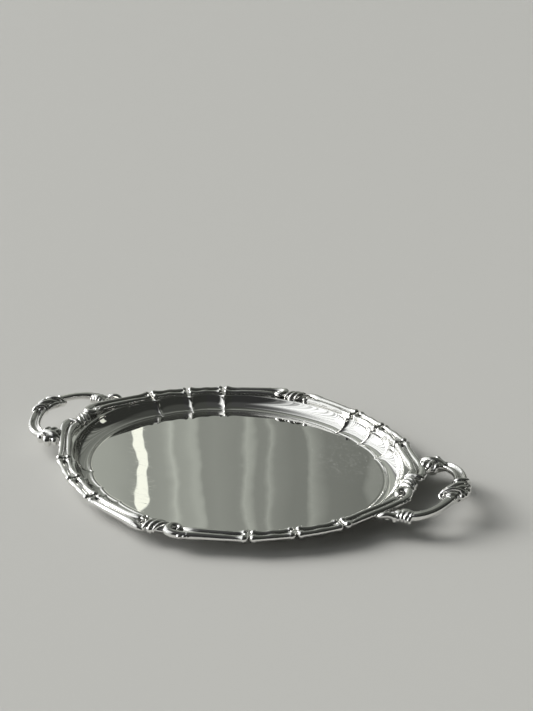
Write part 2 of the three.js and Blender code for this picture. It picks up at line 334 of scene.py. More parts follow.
def piece(name, v, f, tarnish_and_shade, material, node):
    """A finished piece of the tray in the scene."""
    m = raw_mesh(name, v, f, 0.001)
    m.polygons.foreach_set("use_smooth", np.ones(len(m.polygons), bool))
    layer = m.attributes.new("tarnish_and_shade", "FLOAT", "POINT")
    layer.data.foreach_set("value", np.asarray(tarnish_and_shade, np.float32))
    m.materials.append(material)
    o = bpy.data.objects.new(name, m)
    bpy.context.scene.collection.objects.link(o)
    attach(o, "root")
    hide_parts(node)
    return o


def smoothstep(t):
    """Eases from 0 at t = 0 to 1 at t = 1."""
    t = np.clip(t, 0, 1)
    return t * t * (3 - 2 * t)


# ------------------------------------------------------------------ materials
def node(tree, kind, **values):
    """A shader node with some of its sockets and settings filled in."""
    n = tree.nodes.new(kind)
    for key, value in values.items():
        if key in n.inputs:
            n.inputs[key].default_value = value
        else:
            setattr(n, key, value)
    return n


def calc(tree, kind, *values, clamp=False):
    """A Math node on numbers and other nodes' outputs."""
    n = node(tree, "ShaderNodeMath", operation=kind, use_clamp=clamp)
    for socket, value in zip(n.inputs, values):
        if isinstance(value, (int, float)):
            socket.default_value = value
        else:
            tree.links.new(value, socket)
    return n.outputs[0]


def spread(tree, value, low, high, a=0.0, b=1.0, kind="LINEAR"):
    """A Map Range node that gives a at low and b at high."""
    n = node(tree, "ShaderNodeMapRange", interpolation_type=kind)
    tree.links.new(value, n.inputs["Value"])
    for socket, number in (("From Min", low), ("From Max", high), ("To Min", a), ("To Max", b)):
        n.inputs[socket].default_value = number
    return n.outputs["Result"]


def noise(tree, place, **values):
    """A noise texture over places, or over a number in one dimension."""
    n = node(tree, "ShaderNodeTexNoise", **values)
    tree.links.new(place, n.inputs["W" if "noise_dimensions" in values else "Vector"])
    return n.outputs[0]


# Three lays of wiping scratches: direction, and how drawn out they are.
SCRATCHES = ((0.35, 34.0), (1.9, 26.0), (2.7, 42.0))


def silver(name, bright, tarnish_and_shade_colour, rough, smudge, scratch, scratch_size, haze, scuff=0.0):
    """Polished silver plate: tarnish with painted shade in the recesses, smudges in the gloss, and
    wiping scratches.
    """
    mat = bpy.data.materials.new(name)
    mat.use_nodes = True
    t = mat.node_tree
    t.nodes.clear()
    link = t.links.new
    out = node(t, "ShaderNodeOutputMaterial")
    skin = node(t, "ShaderNodeBsdfPrincipled", Metallic=1.0)
    # Hairline wear scatters a little light round each highlight.
    skin.inputs["Coat Weight"].default_value = haze
    skin.inputs["Coat Roughness"].default_value = 0.4
    skin.inputs["Coat IOR"].default_value = 2.4
    link(skin.outputs[0], out.inputs[0])
    place = node(t, "ShaderNodeTexCoord").outputs["Object"]
    tarnish_and_shade = node(t, "ShaderNodeAttribute", attribute_name="tarnish_and_shade").outputs["Fac"]

    # The recesses take the dark colour, which is partly tarnish and partly painted shade, broken up in
    # blotches.
    blotches = noise(t, place, Scale=26.0, Detail=4.0, Roughness=0.6)
    grime = calc(t, "MULTIPLY_ADD", blotches, 0.5, -0.28)
    deep = calc(t, "ADD", tarnish_and_shade, grime, clamp=True)
    held = calc(t, "MULTIPLY", deep, tarnish_and_shade, clamp=True)
    colour = node(t, "ShaderNodeMix", data_type="RGBA")
    link(held, colour.inputs["Factor"])
    colour.inputs["A"].default_value = (*bright, 1)
    colour.inputs["B"].default_value = (*tarnish_and_shade_colour, 1)
    link(colour.outputs["Result"], skin.inputs["Base Color"])

    smears = noise(t, place, Scale=14.0, Detail=6.0, Roughness=0.68, Distortion=1.2)
    gloss = spread(t, smears, 0.42, 0.78, rough, rough + smudge)
    gloss = calc(t, "MULTIPLY_ADD", held, 0.3, gloss)
    if scuff:
        # Handling has clouded the back of the right-hand end of the well in small wisps.
        wisps = noise(t, place, Scale=75.0, Detail=6.0, Roughness=0.72, Distortion=2.5)
        axes = node(t, "ShaderNodeSeparateXYZ")
        link(place, axes.inputs[0])
        end = spread(t, axes.outputs[0], 0.03, 0.13, kind="SMOOTHSTEP")
        side = spread(t, axes.outputs[1], 0.0, 0.055, kind="SMOOTHSTEP")
        patch = calc(t, "MULTIPLY", end, side)
        cloud = calc(t, "MULTIPLY", spread(t, wisps, 0.5, 0.74, 0.0, scuff), patch)
        gloss = calc(t, "ADD", cloud, gloss)
        link(calc(t, "SUBTRACT", 1.0, cloud), skin.inputs["Metallic"])
    link(gloss, skin.inputs["Roughness"])

    height = None
    for turn, stretch in SCRATCHES:
        lay = node(t, "ShaderNodeMapping", Rotation=(0, 0, turn), Scale=(1, stretch, 1))
        link(place, lay.inputs["Vector"])
        cut = spread(t, noise(t, lay.outputs[0], Scale=scratch_size, Detail=2.0), 0.66, 0.74)
        height = cut if height is None else calc(t, "ADD", height, cut)
    bump = node(t, "ShaderNodeBump", Strength=scratch, Distance=0.00002)
    bump.invert = True
    link(height, bump.inputs["Height"])
    link(bump.outputs[0], skin.inputs["Normal"])
    return mat


# The second colour of each material is the dark of the recesses: tarnish with painted shade.
sheet_silver = silver(
    "sheet_silver", (0.9, 0.895, 0.875), (0.22, 0.205, 0.18),
    rough=0.004, smudge=0.014, scratch=0.07, scratch_size=30.0, haze=0.03, scuff=0.14,
)
border_silver = silver(
    "border_silver", (0.89, 0.885, 0.865), (0.045, 0.042, 0.038),
    rough=0.05, smudge=0.07, scratch=0.15, scratch_size=40.0, haze=0.15,
)
handle_silver = silver(
    "handle_silver", (0.885, 0.88, 0.86), (0.05, 0.046, 0.042),
    rough=0.06, smudge=0.08, scratch=0.15, scratch_size=40.0, haze=0.15,
)

# ------------------------------------------------------------------ the sheet
crease_at = sorted(math.atan2(QUADRANT[i][1] / LIP[1], QUADRANT[i][0] / LIP[0]) for i in NOTCHES)
creases = np.array([a for c in crease_at for a in (c, np.pi - c, np.pi + c, 2 * np.pi - c)])
AROUND = 840  # vertices round the sheet
EDGE_POINTS = 2401  # points that the flange's edge is measured at
MEAN_RADIUS = 178.0  # of the sheet's wall, which turns angles into lengths


def from_crease(angle):
    """Angles to the nearest crease."""
    return np.abs((angle[:, None] - creases[None] + np.pi) % (2 * np.pi) - np.pi).min(1)


def sheet_angles():
    """Angles round the sheet, closer together at the creases."""
    fine = np.linspace(0, 2 * np.pi, 40001)
    # Up to eight times as close, within a degree or so of a crease.
    density = 1 + 7 * np.exp(-((from_crease(fine) / 0.022) ** 2))
    total = np.concatenate([[0], np.cumsum((density[1:] + density[:-1]) / 2)])
    total /= total[-1]
    return np.interp(np.linspace(0, 1, AROUND, endpoint=False), total, fine)


# Unevenness of the well floor: wavelength and height, and then direction and phase.
UNEVEN = [
    (170, 0.07), (120, 0.03), (83, 0.02), (64, 0.014),
    (51, 0.01), (38, 0.0055), (27, 0.0026), (19, 0.0012),
]
WAVES = [
    (wavelength, height, math.cos(a), math.sin(a), phase)
    for (wavelength, height), (a, phase) in zip(
        UNEVEN, np.random.default_rng(7).uniform(0, 6.283, (len(UNEVEN), 2))
    )
]

# The sheet's upper face above the floor of the well, as (ring, height). Ring 1 is the wall's foot,
# 2 is its lip and 3 is the flange's edge.
WALL = LIP[0] - FOOT[0]
TOP = FLANGE_TOP - SHEET
WELL_RINGS = np.concatenate([np.linspace(0.03, 0.9, 26), [0.93, 0.955, 0.972, 0.984]])
FOOT_BEAD = [
    (0.9885, 0.08), (0.992, 0.36), (0.9955, 0.78), (0.9985, 1.08),
    (1.0, 1.14), (1.03, 1.0), (1.06, 0.62), (1.095, 0.38),
]
ROLLED_LIP = [
    (2.012, TOP - 0.75), (2.03, TOP - 0.3), (2.055, TOP + 0.1), (2.09, TOP + 0.32),
    (2.13, TOP + 0.34), (2.17, TOP + 0.22), (2.22, TOP + 0.06),
]
FLANGE_RINGS = (2.28, 2.45, 2.65, 2.85, 3.0)


def cove():
    """The hollow wall from the bead to the lip: it starts out nearly flat and ends up steep."""
    t = np.linspace(0, 1, 22)[2:]
    x = 2 * (1 - t) * t * 0.8 * WALL + t**2 * WALL
    z = 2 * (1 - t) * t * 2.2 + t**2 * (TOP - 1.3)
    return [(1 + a / WALL, b) for a, b in zip(x, z) if a / WALL > 0.12]


def radius_at(r):
    """Distance of ring r from the centre, on the long axis."""
    if r <= 1:
        return FOOT[0] * r
    return FOOT[0] + WALL * (r - 1) if r <= 2 else LIP[0] + 14 * (r - 2)


def make_sheet():
    """The tray's sheet: vertices, quads and how dark each vertex is painted, as shade and tarnish."""
    angle = sheet_angles()
    away = from_crease(angle) * MEAN_RADIUS
    d = np.stack([np.cos(angle), np.sin(angle)], 1)
    ring = np.linspace(0, border.length, EDGE_POINTS)
    ring = on_border(np.stack([ring, np.full(EDGE_POINTS, FLANGE_EDGE), 0 * ring], 1))
    ring_angle = np.arctan2(ring[:, 1] / LIP[1], ring[:, 0] / LIP[0]) % (2 * np.pi)
    order = np.argsort(ring_angle)
    scale = np.hypot(ring[order, 0] / LIP[0], ring[order, 1] / LIP[1])
    edge = np.interp(angle, ring_angle[order], scale, period=2 * np.pi)

    def plan(r, soft):
        """Places at ring r, with sharp creases on the upper face and soft ones on the lower."""
        foot, lip = d * FOOT, d * LIP
        if r <= 1:
            base = foot * r
        elif r <= 2:
            base = foot + (lip - foot) * (r - 1)
        else:
            base = lip + (lip * edge[:, None] - lip) * (r - 2)
        # A crease is narrow and shallow at the wall's foot, and wide and deep at its lip.
        up_wall = min(max(r - 1, 0), 1)
        width = 1.9 + 2.1 * up_wall
        depth = (2.6 + 2.6 * up_wall) * smoothstep((r - 0.93) / 0.07)
        depth = depth * (1 - smoothstep((r - 2.02) / 0.35))
        if soft:
            groove = np.exp(-((away / (width + 2.5)) ** 2)) * 0.8
        else:
            groove = np.exp(-away / width)
        # The wall also draws in gently for some way to each side of a crease.
        broad = np.exp(-((away / 17.0) ** 2)) * 1.2
        fade = smoothstep((r - 0.9) / 0.1) * (1 - smoothstep((r - 2) / 0.5))
        pull = depth * groove + broad * fade
        size = np.linalg.norm(base, axis=1)
        return base * (1 - pull / np.maximum(size, 1))[:, None]

    rings = [(r, 0.0) for r in WELL_RINGS] + FOOT_BEAD + cove() + ROLLED_LIP
    rings += [(r, TOP) for r in FLANGE_RINGS]
    upper, lower = [], []
    radial = np.array([radius_at(r) for r, _ in rings])
    heights = np.array([z for _, z in rings])
    slope = np.gradient(heights, radial)
    slope[: sum(1 for r, _ in rings if r < 0.985)] = 0
    # The upper face's normal, outwards and up.
    nr, nz = -slope / np.hypot(1, slope), 1 / np.hypot(1, slope)
    # The flange is raised a little at the creases, in the gaps between the castings.
    tab = 0.75 * np.exp(-((away / 2.4) ** 4))
    for i, ((r, z), a, b) in enumerate(zip(rings, nr, nz)):
        p = plan(r, soft=False)
        lift = rise(p[:, 0]) * np.clip(z / TOP, 0, 1) * smoothstep(r - 1)
        bridge = tab * smoothstep((r - 2.02) / 0.06)
        wave = 0.0
        if r < 0.98:
            x, y = p[:, 0], p[:, 1]
            wave = sum(h * np.sin((x * c + y * s) * 6.283 / long + k) for long, h, c, s, k in WAVES)
            wave = wave * (1 - smoothstep((r - 0.8) / 0.18))
        upper.append(np.column_stack([p, SHEET + z + lift + bridge + wave]))
        if i % 6 and not 0.95 < r < 2.3:
            continue  # the flat parts of the underside need fewer rings
        q = plan(r, soft=True) - d * (a * SHEET if r > 0.99 else 0)
        under = SHEET + z - SHEET * b if r >= 1.0 else 0.0
        lower.append(np.column_stack([q, np.maximum(under, 0) + lift]))
    v = np.vstack([*upper, *lower[::-1], [[0, 0, SHEET], [0, 0, 0]]])
    rows = len(upper) + len(lower)
    f = tube_faces(rows, AROUND)[:, [1, 0, 3, 2]]
    tarnish_and_shade = np.zeros(len(v))
    grid = tarnish_and_shade[: rows * AROUND].reshape(rows, AROUND)
    # Painted shade in the colour: a dark line along each crease of the upper wall, which is a ridge
    # and no hollow, and the flange under the border castings. The ring at the wall's foot is darkened
    # too.
    for i, (r, _) in enumerate(rings):
        if 0.983 < r < 0.992:
            grid[i] = 0.5
        if 2.3 < r:
            grid[i] = 0.25
        if 1.5 < r < 2.3:
            grid[i] = 0.5 * np.exp(-((away / 1.6) ** 2))
    # Painted shade: the whole underside is darkened a little.
    grid[len(rings) :] = 0.18
    return v, f, tarnish_and_shade


v, f, tarnish_and_shade = make_sheet()
piece("tray_sheet_polished", v, f, tarnish_and_shade, sheet_silver, "tray_sheet")


# ------------------------------------------------------------------ border sections
def along(points, length, turned):
    """Points given by distance from an end, as places along a section."""
    out = np.array(points, float)
    if turned:
        out[:, 0] = length - out[:, 0]
    return out


ARCH_HALF = 11.5  # half the width of a band that arches over the border


def arch(w, top):
    """Height of such a band at w outwards."""
    return BASE + top * math.sqrt(max(0.0, 1 - (w / ARCH_HALF) ** 2))


def tilted(offsets, start, top, length, turned):
    """A path over both reeds, tilted along the border."""
    return along([(start + 0.16 * w, w, arch(w, top)) for w in offsets], length, turned)


def knob_end(length, turned):
    """A pair of knuckles where a section meets a notch, with a smaller one between them."""
    places = [(4.4, 5.7, BASE + 2.0), (4.1, -5.1, BASE + 1.8), (2.6, 0.3, BASE + 1.4)]
    sizes = [(4.6, 4.5, 4.4), (4.3, 4.1, 4.1), (2.6, 3.8, 3.2)]
    return [ball(place, size) for place, size in zip(along(places, length, turned), sizes)]


def scroll_end(length, turned):
    """The outer reed turns round the end and curls back over the inner one, round a cupped hollow."""
    curl = [
        (30, 5.2, 2.0), (20, 5.9, 2.2), (12, 6.2, 2.7), (6.2, 4.8, 3.4), (4.4, 0.6, 3.9),
        (5.4, -4.0, 4.1), (9.0, -7.0, 3.9), (14.0, -7.0, 3.7), (16.6, -4.0, 3.6), (14.8, -1.5, 3.2),
    ]
    size = [4.2, 4.4, 4.7, 4.9, 4.7, 4.2, 3.5, 3.0, 2.5, 1.7]
    curl = along([(a, b, BASE + c) for a, b, c in curl], length, turned)
    pearls = [(20.5, 10.0, BASE + 2.4), (25.6, 9.2, BASE + 2.2), (29.8, 8.6, BASE + 2.0)]
    pearls = along(pearls, length, turned)
    parts = [sweep(curl, size, around=22)]
    for place, r in zip(pearls, (2.3, 1.9, 1.4)):
        parts.append(ball(place, (r * 1.15, r, r)))
    return parts


def flare_end(length, turned):
    """Both reeds swell like trumpets into a banded rim, with a hollow between them."""
    rim = tilted((-9.8, -7, -3.5, 0, 3.5, 7, 10.2), 1.2, 6.4, length, turned)
    band = tilted((-8.6, -6, -3, 0, 3, 6, 8.8), -3.6, 5.0, length, turned)
    return [
        sweep(rim, [2.0, 2.6, 2.8, 2.6, 2.8, 2.8, 2.2], around=18),
        sweep(band, [1.3, 1.8, 2.0, 2.0, 2.0, 1.8, 1.3], around=16),
    ]


def prong_end(length, turned):
    """The inner reed ends as an open pipe. The outer one's prong comes from its stations."""
    a = np.linspace(0, 2 * np.pi, 15)
    parts = []
    for s, w, rs, rw, up, size in ((2.6, -7.2, 3.5, 3.4, 4.0, 1.45), (2.9, -7.1, 3.6, 3.5, 1.2, 1.5)):
        ring = np.column_stack([s + rs * np.cos(a), w + rw * np.sin(a), BASE + up + 0 * a])
        parts.append(sweep(along(ring, length, turned), [size] * len(a), around=14))
    return parts


def reed(stations):
    """A reed along stations of (place, outwards, height, radius)."""
    s = np.array(stations, float)
    return sweep(s[:, :3], s[:, 3], around=40, per=40)


# Stations near each kind of end, on the outer reed (1) and the inner one (-1): distance from the
# end, offset from the centreline, and radius.
STATIONS = {
    ("knob", 1): [(4.6, 5.7, 4.2), (9.5, 5.2, 3.5), (16, 4.7, 3.3), (25, 4.5, 3.6)],
    ("knob", -1): [(4.6, 5.2, 3.9), (9.5, 5.0, 3.3), (16, 4.7, 3.2), (25, 4.5, 3.6)],
    ("scroll", 1): [(27.8, 5.4, 4.3), (36.0, 4.8, 4.2)],
    ("scroll", -1): [(17.6, 7.2, 2.2), (21.8, 6.2, 3.3), (28.8, 5.1, 4.0), (37.0, 4.6, 4.1)],
    ("flare", 1): [(3.4, 6.6, 4.8), (8, 6.4, 5.4), (15, 6.1, 5.2), (24, 5.4, 4.3), (33, 4.8, 3.7)],
    ("flare", -1): [(3.4, 6.1, 4.7), (8, 6.0, 5.3), (15, 5.8, 5.1), (24, 5.2, 4.2), (33, 4.7, 3.6)],
    ("prong", 1): [(-2.4, 10.6, 1.4), (1.5, 9.4, 3), (7, 7.4, 4.3), (15, 5.8, 4.7), (26, 4.7, 4.2)],
    ("prong", -1): [(8.2, 6.6, 3.9), (11.0, 6.0, 4.2), (17.0, 5.2, 4.4), (27.0, 4.5, 4.1)],
}
ENDS = {"knob": knob_end, "scroll": scroll_end, "flare": flare_end, "prong": prong_end}
# Where the web between the reeds stops, from each kind of end, and how many spans it has.
WEB_STOP = {"knob": 3.0, "scroll": 6.0, "flare": 2.0, "prong": 7.0}
WEB_SPANS = 24


def section(length, start, finish):
    """A border section in the border's own unrolled space, starting at 0."""
    parts = []
    for side in (1, -1):
        # On a short section the stations stop before its middle.
        first, final = (
            [p for p in STATIONS[kind, side] if p[0] < length * 0.46] for kind in (start, finish)
        )
        waist = (length / 2, 4.5, 3.7 if length < 80 else 4.0)
        rows = first + [waist] + [(length - d, w, r) for d, w, r in final[::-1]]
        # The outer reed is higher than the inner one, and both rise where they are thick.
        height = BASE + (2.0 if side > 0 else 1.6)
        parts.append(reed([(x, side * w, height + (r - 4) * 0.5, r) for x, w, r in rows]))
    a, b = WEB_STOP[start], length - WEB_STOP[finish]
    web = [(a + (b - a) * i / WEB_SPANS, 0.2, BASE + 0.3) for i in range(WEB_SPANS + 1)]
    parts.append(sweep(web, [1.4] * len(web), wide=4.2, around=20, per=3))
    for kind, turned in ((start, False), (finish, True)):
        parts += ENDS[kind](length, turned)
    return seated(parts)


def seated(parts):
    """Shapes with whatever would dip into the sheet's flange cut level with it."""
    out = []
    for v, f in parts:
        v = v.copy()
        over = v[:, 1] < FLANGE_EDGE + 0.4
        v[over, 2] = np.maximum(v[over, 2], BASE)
        out.append((v, f))
    return out


def tarnish_and_shade_of(v, f):
    """Tarnish with painted shade, darkest in narrow grooves and in the wider hollows."""
    return np.clip(recesses(v, f, 0.35, 10) * 0.7 + recesses(v, f, 0.9, 50), 0, 1)


# Each section of a quarter of the border: where it starts and stops, and what it ends in.
SECTIONS = {
    "side": (0.0, to_notch[0] - NOTCH / 2, "clasp", "knob"),
    "corner_1": (to_notch[0] + NOTCH / 2, to_notch[1] - NOTCH / 2, "knob", "knob"),
    "corner_2": (to_notch[1] + NOTCH / 2, to_notch[2] - NOTCH / 2, "knob", "knob"),
    "end": (to_notch[2] + NOTCH / 2, to_right, "knob", "clasp"),
}
for kind, (first, final, start, finish) in SECTIONS.items():
    # The ends that meet a clasp are flared on one diagonal of the tray and scrolled on the other.
    open_end = "prong" if kind == "side" else "flare"
    for clasp_end, quarters in ((open_end, ((1, 1), (-1, -1))), ("scroll", ((1, -1), (-1, 1)))):
        ends = [clasp_end if e == "clasp" else e for e in (start, finish)]
        room = (TO_SCROLLED if clasp_end == "scroll" else TO_FLARED) + GAP
        s0 = first + room if start == "clasp" else first
        s1 = final - room if finish == "clasp" else final
        v, f = cast(section(s1 - s0, *ends))
        dark = tarnish_and_shade_of(v, f)
        v = on_border(v + [s0, 0, 0])
        for sx, sy in quarters:
            name = f"border_{'back' if sy > 0 else 'front'}_{'right' if sx > 0 else 'left'}_{kind}"
            faces = f if sx * sy > 0 else f[:, ::-1]
            places = v * [sx, sy, 1]
            piece(name + "_cast", places, faces, dark, border_silver, name)


# ------------------------------------------------------------------ leaf clasps
def clasp(lean):
    """Oblique ridges wound round the border, leaning to the flared neighbour, with a boss outside."""
    core = [(-10, 0, BASE + 1.2), (0, 0.3, BASE + 1.6), (14, 0, BASE + 1.2)]
    parts = [sweep(core, [3.0, 3.9, 3.0], wide=2.1, around=26)]
    turn = np.radians(np.linspace(-92, 96, 11))
    for at, size in ((-4.4, 3.0), (2.2, 3.7), (8.8, 3.3)):
        path = [
            (at + lean * 4.6 * math.sin(a), 0.5 + 8.3 * math.sin(a), BASE + 1.0 + 4.3 * math.cos(a))
            for a in turn
        ]
        parts.append(sweep(path, [size * (0.66 + 0.34 * math.cos(a) ** 2) for a in turn], around=18))
    parts.append(ball((2.2 + lean * 3.4, 9.2, BASE + 1.8), (4.6, 3.4, 3.9)))
    parts.append(ball((2.2 - lean * 4.0, -8.7, BASE + 1.6), (3.6, 2.6, 3.0)))
    return seated(parts)


for side, quarter, towards in (("back", 0, 1), ("right", 1, -1), ("front", 2, 1), ("left", 3, -1)):
    # The leaf leans the same way all round, and sits nearer the neighbour with the flared end.
    shapes = [(v * [towards, 1, 1], g[:, ::towards]) for v, g in clasp(towards)]
    v, f = cast(shapes)
    dark = tarnish_and_shade_of(v, f)
    v = on_border(v + [quarter * border.length / 4, 0, 0])
    piece(f"clasp_{side}_cast", v, f, dark, border_silver, f"clasp_{side}")


# ------------------------------------------------------------------ handles
middle = handle.length / 2
last = handle.length


def bent(parts):
    """Shapes made along a straight bar, bent along the handle."""
    return [(on_handle(v), f) for v, f in parts]


def narrow_arm():
    """A waisted bar that is nearly square, with rounded corners."""
    radius, squareness = 5.3, 2.8
    s = np.linspace(middle + KNUCKLE / 2 - 5, last - COLLAR + 4, 34)
    t = (s - s[0]) / (s[-1] - s[0])
    r = radius - 0.4 * np.sin(np.pi * t)
    v, f = sweep(np.stack([s, 0 * s, 0 * s], 1), r, tall=0.92, around=40, per=2)
    off = np.abs(v[:, 1:] / radius)
    square = np.maximum((off**squareness).sum(1) ** (1 / squareness), 1e-6)
    v[:, 1:] *= ((off**2).sum(1) ** 0.5 / square)[:, None]
    return v, f


def wide_arm():
    """Two ribs with a channel between them, which opens in a scoop beside the foot."""
    s = np.linspace(COLLAR - 5, middle - KNUCKLE / 2 + 5, 90)
    a = np.linspace(0, 2 * np.pi, 72, endpoint=False)
    t = (s - s[0]) / (s[-1] - s[0])
    width = 7.0 + 1.2 * smoothstep(t / 0.35) + 0.2 * smoothstep((t - 0.6) / 0.4)
    depth = 0.84 * smoothstep((t - 0.06) / 0.1) * (1 - 0.25 * smoothstep((t - 0.9) / 0.1))
    hollow = np.exp(-((np.abs(np.cos(a) + 0.1) / 0.46) ** 3.0))
    w = width[:, None] * np.cos(a)[None]
    over = 1 - depth[:, None] * hollow[None]
    h = 5.4 * np.sin(a)[None] * np.where(np.sin(a) > 0, over, 1 - 0.3 * hollow[None])
    v = np.stack([np.repeat(s, len(a)), w.ravel(), h.ravel()], 1)
    return np.vstack([v, [[s[0], 0, 0], [s[-1], 0, 0]]]), tube_faces(len(s), len(a))


def hoop(s, w, rs, rw, rh, count):
    """Points round a hoop across the bar, at s along it and w outwards.

    Its half width is rw, its half height is rh, and rs leans it along the bar.
    """
    a = np.linspace(0, 2 * np.pi, count)
    return np.stack([s + rs[0] * np.cos(a) + rs[1] * np.sin(a), w + rw * np.cos(a), rh * np.sin(a)], 1)


# Folds of the knuckle's leaf: points (along from the handle's middle, outwards, up) and radii.
LEAF_FOLDS = [
    ([(-21.5, 8.6, 0.6), (-18.0, 6.8, 4.2), (-14.0, 1.2, 6.0), (-12.5, -4.6, 4.8), (-15.0, -8.2, 0.8)],
     [2.2, 2.7, 2.7, 2.6, 2.1]),
    ([(-12.5, 7.0, 2.4), (-6.5, 3.0, 4.7), (0.5, -2.8, 4.8), (8.0, -9.6, 3.0)], [2.6, 3.4, 3.6, 2.4]),
    ([(-4.5, 8.8, 2.0), (1.5, 4.8, 4.5), (6.5, -1.0, 4.5)], [2.8, 3.4, 2.4]),
    ([(3.5, 9.8, 0.8), (8.0, 6.8, 3.4)], [3.2, 2.8]),
    ([(-11, -6.6, -0.8), (-2, -8.6, 0.8), (6, -11.0, 1.4), (13, -13.2, 0.8)], [2.6, 3.2, 3.0, 2.5]),
]


def knuckle():
    """A leaf wrapped over the bar: its folds run from the lobes outside to a curled tip inside."""
    m = middle
    core = [(m - 13, 0.6, 0), (m - 8, 1.0, 0), (m - 1, 1.0, 0), (m + 8, -0.4, 0), (m + 15, -1.5, 0)]
    parts = [sweep(core, [6.6, 8.2, 8.8, 8.4, 6.4], wide=1.1, tall=0.76, around=30)]
    for path, size in LEAF_FOLDS:
        parts.append(sweep([(m + s, w, h) for s, w, h in path], size, around=20))
        under = [(m + s, w, -h * 0.85 - 0.6) for s, w, h in path]
        parts.append(sweep(under, [0.9 * r for r in size], around=20))
    # The cup's mouth, and the bud inside it that the narrow arm grows from.
    mouth = hoop(m + 14.0, -1.6, (-5.8, -3.2), 11.6, 7.0, 21)
    parts.append(sweep(mouth, [2.05] * len(mouth), up=(1, 0, 0), around=16))
    bud = [(m + 12, -1.4, 0), (m + 18, -1.0, 0), (m + 23.4, 0, 0)]
    parts.append(sweep(bud, [8.0, 7.4, 5.2], wide=1.05, tall=0.78, around=26))
    neck = hoop(m + 23.6, 0, (0, 0), 5.2, 4.6, 15)
    parts.append(sweep(neck, [1.2] * len(neck), up=(1, 0, 0), around=12))
    tip = [(m + 16, -12.4, 0.6), (m + 21.5, -13.0, -0.4), (m + 25.0, -11.0, -1.0)]
    parts.append(sweep(tip, [3.2, 3.1, 2.0], around=18))
    parts.append(ball((m + 13.8, 9.8, 1.6), (3.6, 3.6, 4.2)))
    for s, w, size in ((-9.5, 8.8, 4.0), (-0.8, 10.2, 4.2), (7.4, 10.2, 4.0)):
        parts.append(ball((m + s, w, 0.0), (4.3, size, 4.6)))
    return bent(parts)


def cuff(centres, radius, size, lean):
    """Ridges round the bar, leaning along it, at each centre (along, scale)."""
    parts = []
    for s, k in centres:
        path = hoop(s, 0, (lean, 0), radius * k, 0.85 * radius * k, 13)
        parts.append(sweep(path, [size * k] * len(path), up=(1, 0, 0), around=12))
    return parts


def narrow_foot():
    """A fluted cuff under the narrow arm, and a curled leaf along the border's outer edge."""
    s = last
    bar = [(s - 22, 0, 0), (s - 14, 0, 0), (s - 6, 0, 0), (s, 0, 0)]
    bar = [sweep(bar, [4.6, 5.4, 6.0, 5.6], wide=1.1, around=26)]
    bar += cuff([(s - 21.0, 0.86), (s - 17.4, 1.0)], 5.7, 1.7, 1.6)
    shell = [ball((241.0, -58.6, 24.0), (9.6, 6.6, 5.4))]
    for k, x in enumerate((233.4, 237.5, 241.7, 245.8)):
        drop = 0.9 * abs(k - 1.3)
        outside = [
            (x + 1.2, -60.5, 27.4 - drop), (x + 0.2, -65.3, 25.4 - drop),
            (x + 0.2, -67.6, 21.4 - drop * 0.6), (x + 0.8, -66.6, 17.6),
        ]
        shell.append(sweep(outside, [1.9, 2.5, 2.5, 1.7], around=16))
        inside = [(x + 2.0, -56.5, 27.2 - drop), (x + 1.2, -52.6, 24.8 - drop), (x + 1.0, -51.6, 20.6)]
        shell.append(sweep(inside, [1.9, 2.4, 1.8], around=16))
    curl = [
        (211.6, -71.6, 16.8), (213.4, -73.2, 21.0), (218, -73.0, 24.4), (223.6, -71.0, 25.2),
        (228.6, -69.6, 23.4), (229.8, -69.6, 19.6),
    ]
    vein = [(218.6, -71.2, 18.4), (222.4, -71.6, 20.6), (225.4, -70.6, 21.4)]
    leaf = [
        sweep(curl, [2.3, 3.1, 3.5, 3.6, 3.6, 3.2]),
        sweep([(233, -62, 20.5), (224, -64.5, 20.0), (216, -68.5, 18.0)], [5.0, 4.2, 2.2], tall=0.85),
        sweep(vein, [1.2, 1.7, 1.3], around=12),
        sweep([(240, -60, 19.5), (232, -58, 18.6), (224, -57, 18.6)], [5.2, 5.2, 4.0]),
    ]
    return bent(bar) + shell + leaf


# Lobes of the wide arm's foot: points in the part's frame, radii, and vertices round them.
LOBES = [
    ([(248, 60.5, 25), (240, 61.6, 27.8), (231, 60.8, 28), (223.6, 61.2, 26), (220, 60.2, 23.2)],
     [3.2, 4.3, 4.9, 4.6, 2.8], 22),
    ([(247, 55.4, 25), (239, 52.6, 26.2), (231, 51.4, 25.0), (225, 50.6, 22.4)],
     [3.0, 3.4, 3.5, 2.6], 18),
    ([(250, 63.2, 24.6), (241, 66.6, 26.4), (231, 67.6, 26.2), (222, 65.8, 24.6)],
     [2.2, 2.8, 2.8, 1.8], 18),
    ([(243.0, 62.5, 25.5), (242.6, 67.6, 23.4), (241.6, 68.6, 19.6)], [3.6, 4.5, 3.9], 20),
    ([(234.2, 63.5, 25.5), (231.6, 69.6, 22.4), (230.0, 70.2, 18.4)], [3.8, 5.2, 4.5], 20),
    ([(225.2, 62.8, 24), (221.8, 67.0, 21.6), (221.0, 66.6, 18.8)], [3.2, 4.1, 3.5], 18),
    ([(243, 64.6, 27), (238, 67.8, 29.2), (233.4, 69.4, 28.8)], [2.2, 2.5, 1.2], 14),
    ([(228.5, 57.5, 28.2), (226.2, 50.6, 26.4), (226.4, 47.2, 21.4)], [2.4, 3.6, 2.8], 18),
    ([(235.5, 56.5, 29.2), (233.4, 49.0, 27.4), (232.6, 45.4, 21.8)], [2.4, 3.7, 3.0], 18),
    ([(243.0, 56.0, 28.6), (241.4, 50.0, 27.2), (240.4, 46.8, 22.4)], [2.2, 3.2, 2.6], 18),
]


